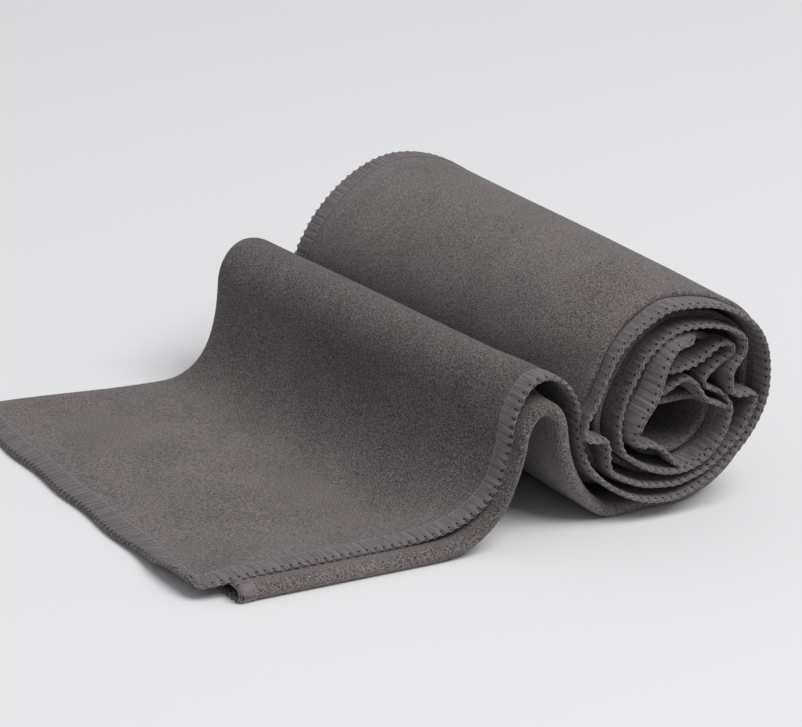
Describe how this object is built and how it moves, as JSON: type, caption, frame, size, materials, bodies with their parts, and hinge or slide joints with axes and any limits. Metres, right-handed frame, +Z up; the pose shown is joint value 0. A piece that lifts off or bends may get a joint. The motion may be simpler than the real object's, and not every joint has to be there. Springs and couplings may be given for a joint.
{
  "type": "rolled hand towel",
  "caption": "Suede-finish hand towel with overlocked edges, folded lengthwise in three and rolled up, with a hump and a loose tail.",
  "frame": {"origin": "centre of the bounding box, on the surface that the towel lies on", "axes": "+X from the loose tail to the roll, +Y along the roll from its open near end to its far end, +Z up"},
  "size_m": [0.1538, 0.1478, 0.0564],
  "materials": {
    "towel_cloth": "soft brushed suede nap",
    "edge_thread": "matt overlock thread"
  },
  "bodies": {
    "root": {"towel": "towel_cloth"}
  },
  "joints": []
}
